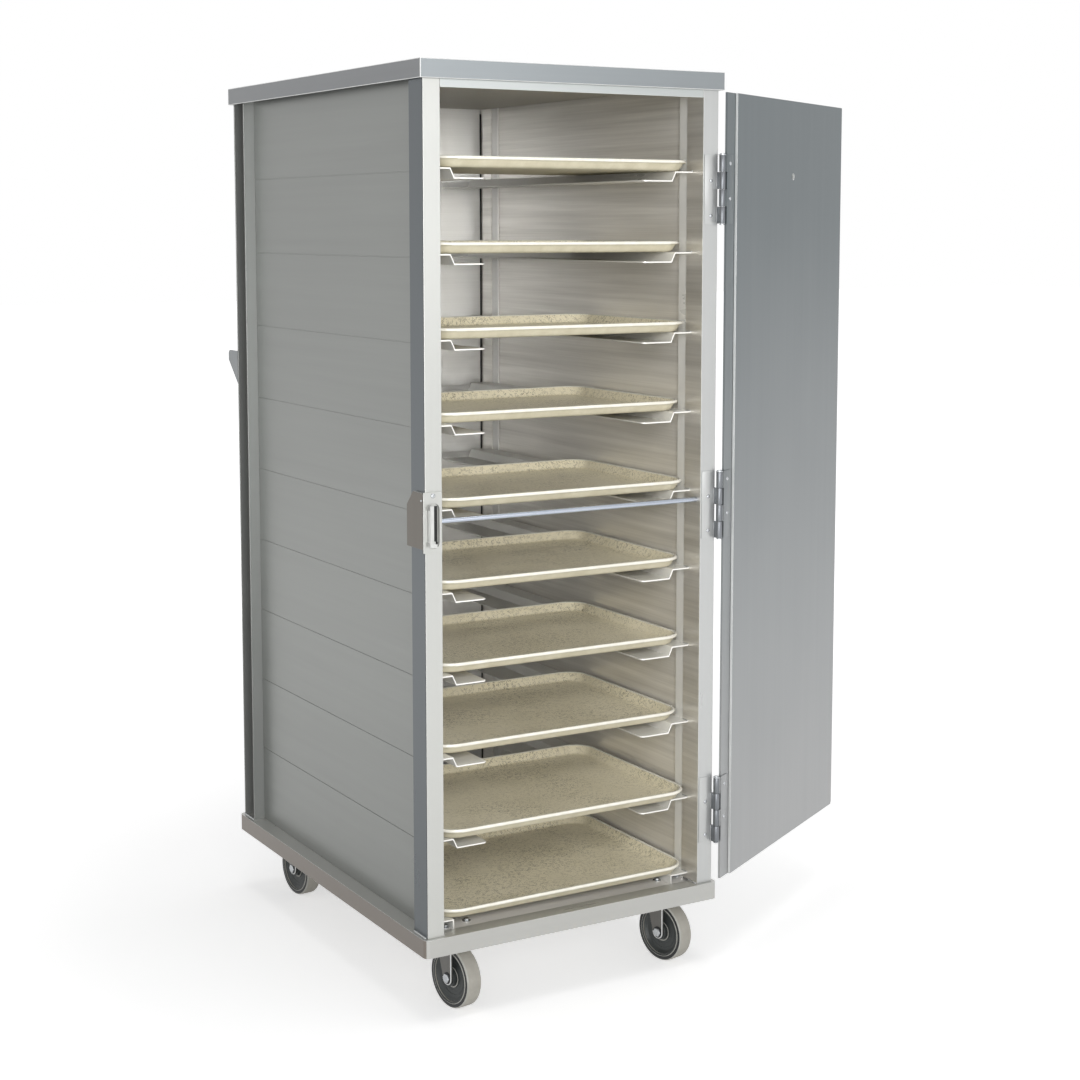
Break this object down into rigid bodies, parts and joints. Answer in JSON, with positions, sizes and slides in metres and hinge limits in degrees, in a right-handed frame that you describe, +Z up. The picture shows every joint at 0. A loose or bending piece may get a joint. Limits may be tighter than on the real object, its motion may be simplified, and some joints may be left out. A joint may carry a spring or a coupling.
{
  "type": "enclosed meal tray cart",
  "caption": "Tall enclosed aluminium cart on swivel casters that carries meal trays on stepped slides behind one door that swings right round to the side.",
  "frame": {"origin": "on the floor, under the middle of the box round the whole cart with its door open as in the picture", "axes": "+Z up, -Y towards the front where the door opening is, +X towards the hinged side"},
  "size_m": [1.0888, 0.8918, 1.6226],
  "materials": {
    "brushed_aluminium": "fine horizontal brushing, satin",
    "post_aluminium": "mill finish, smooth",
    "slide_aluminium": "bright mill finish",
    "tray_fibreglass": "speckled parchment surface with a pale rolled rim",
    "zinc_steel": "bright zinc plate",
    "hub_plastic": "moulded, dark grey",
    "tyre_rubber": "smooth non-marking tread"
  },
  "bodies": {
    "cabinet": {"base_frame": "brushed_aluminium", "cross_rod": "zinc_steel", "floor_pan": "brushed_aluminium", "front_header": "post_aluminium", "front_left_caster_plate": "zinc_steel", "front_left_post": "post_aluminium", "front_right_caster_plate": "zinc_steel", "front_right_post": "post_aluminium", "latch_case": "zinc_steel", "left_rack": "slide_aluminium", "left_wall": "brushed_aluminium", "lower_hinge_pin": "zinc_steel", "lower_hinge_post_leaf": "zinc_steel", "middle_hinge_pin": "zinc_steel", "middle_hinge_post_leaf": "zinc_steel", "push_handle": "post_aluminium", "rear_left_caster_plate": "zinc_steel", "rear_left_post": "post_aluminium", "rear_right_caster_plate": "zinc_steel", "rear_right_post": "post_aluminium", "rear_wall": "brushed_aluminium", "right_rack": "slide_aluminium", "right_wall": "brushed_aluminium", "roof_panel": "brushed_aluminium", "top_cap": "brushed_aluminium", "upper_hinge_pin": "zinc_steel", "upper_hinge_post_leaf": "zinc_steel"},
    "door": {"door_inner_panel": "brushed_aluminium", "door_skin": "brushed_aluminium", "lower_hinge_door_leaf": "zinc_steel", "middle_hinge_door_leaf": "zinc_steel", "upper_hinge_door_leaf": "zinc_steel"},
    "latch": {"latch_slide": "zinc_steel"},
    "front_left_swivel": {"front_left_axle": "zinc_steel", "front_left_fork": "zinc_steel"},
    "front_left_wheel": {"front_left_tyre": "tyre_rubber", "front_left_wheel_core": "hub_plastic"},
    "front_right_swivel": {"front_right_axle": "zinc_steel", "front_right_fork": "zinc_steel"},
    "front_right_wheel": {"front_right_tyre": "tyre_rubber", "front_right_wheel_core": "hub_plastic"},
    "rear_left_swivel": {"rear_left_axle": "zinc_steel", "rear_left_fork": "zinc_steel"},
    "rear_left_wheel": {"rear_left_tyre": "tyre_rubber", "rear_left_wheel_core": "hub_plastic"},
    "rear_right_swivel": {"rear_right_axle": "zinc_steel", "rear_right_fork": "zinc_steel"},
    "rear_right_wheel": {"rear_right_tyre": "tyre_rubber", "rear_right_wheel_core": "hub_plastic"},
    "tray_01": {"tray_01": "tray_fibreglass"},
    "tray_02": {"tray_02": "tray_fibreglass"},
    "tray_03": {"tray_03": "tray_fibreglass"},
    "tray_04": {"tray_04": "tray_fibreglass"},
    "tray_05": {"tray_05": "tray_fibreglass"},
    "tray_06": {"tray_06": "tray_fibreglass"},
    "tray_07": {"tray_07": "tray_fibreglass"},
    "tray_08": {"tray_08": "tray_fibreglass"},
    "tray_09": {"tray_09": "tray_fibreglass"},
    "tray_10": {"tray_10": "tray_fibreglass"}
  },
  "joints": [
    {"name": "door_hinge", "type": "hinge", "parent": "cabinet", "child": "door", "pos_m": [0.05257, -0.4385, 0.852], "axis": [0, 0, 1], "range_deg": [-209.7, 60.3]},
    {"name": "latch_travel", "type": "slide", "parent": "cabinet", "child": "latch", "axis": [-1, 0, 0], "range_m": [-0.014, 0]},
    {"name": "tray_01_travel", "type": "slide", "parent": "cabinet", "child": "tray_01", "axis": [0, -1, 0], "range_m": [-0.416, 0.3]},
    {"name": "tray_02_travel", "type": "slide", "parent": "cabinet", "child": "tray_02", "axis": [0, -1, 0], "range_m": [-0.423, 0.3]},
    {"name": "tray_03_travel", "type": "slide", "parent": "cabinet", "child": "tray_03", "axis": [0, -1, 0], "range_m": [-0.397, 0.3]},
    {"name": "tray_04_travel", "type": "slide", "parent": "cabinet", "child": "tray_04", "axis": [0, -1, 0], "range_m": [-0.403, 0.3]},
    {"name": "tray_05_travel", "type": "slide", "parent": "cabinet", "child": "tray_05", "axis": [0, -1, 0], "range_m": [-0.4, 0.3]},
    {"name": "tray_06_travel", "type": "slide", "parent": "cabinet", "child": "tray_06", "axis": [0, -1, 0], "range_m": [-0.413, 0.3]},
    {"name": "tray_07_travel", "type": "slide", "parent": "cabinet", "child": "tray_07", "axis": [0, -1, 0], "range_m": [-0.397, 0.3]},
    {"name": "tray_08_travel", "type": "slide", "parent": "cabinet", "child": "tray_08", "axis": [0, -1, 0], "range_m": [-0.413, 0.3]},
    {"name": "tray_09_travel", "type": "slide", "parent": "cabinet", "child": "tray_09", "axis": [0, -1, 0], "range_m": [-0.397, 0.3]},
    {"name": "tray_10_travel", "type": "slide", "parent": "cabinet", "child": "tray_10", "axis": [0, -1, 0], "range_m": [-0.419, 0.3]},
    {"name": "front_left_swivel_turn", "type": "hinge", "parent": "cabinet", "child": "front_left_swivel", "pos_m": [-0.46143, -0.3507, 0.125], "axis": [0, 0, 1], "continuous": true},
    {"name": "front_left_wheel_roll", "type": "hinge", "parent": "front_left_swivel", "child": "front_left_wheel", "pos_m": [-0.45689, -0.37934, 0.054], "axis": [0.9877, 0.1564, 0], "continuous": true},
    {"name": "front_right_swivel_turn", "type": "hinge", "parent": "cabinet", "child": "front_right_swivel", "pos_m": [-0.02443, -0.3507, 0.125], "axis": [0, 0, 1], "continuous": true},
    {"name": "front_right_wheel_roll", "type": "hinge", "parent": "front_right_swivel", "child": "front_right_wheel", "pos_m": [-0.0184, -0.37907, 0.054], "axis": [0.9781, 0.2079, 0], "continuous": true},
    {"name": "rear_left_swivel_turn", "type": "hinge", "parent": "cabinet", "child": "rear_left_swivel", "pos_m": [-0.46143, 0.3203, 0.125], "axis": [0, 0, 1], "continuous": true},
    {"name": "rear_left_wheel_roll", "type": "hinge", "parent": "rear_left_swivel", "child": "rear_left_wheel", "pos_m": [-0.45839, 0.29146, 0.054], "axis": [0.9945, 0.1045, 0], "continuous": true},
    {"name": "rear_right_swivel_turn", "type": "hinge", "parent": "cabinet", "child": "rear_right_swivel", "pos_m": [-0.02443, 0.3203, 0.125], "axis": [0, 0, 1], "continuous": true},
    {"name": "rear_right_wheel_roll", "type": "hinge", "parent": "rear_right_swivel", "child": "rear_right_wheel", "pos_m": [-0.01989, 0.29166, 0.054], "axis": [0.9877, 0.1564, 0], "continuous": true}
  ]
}
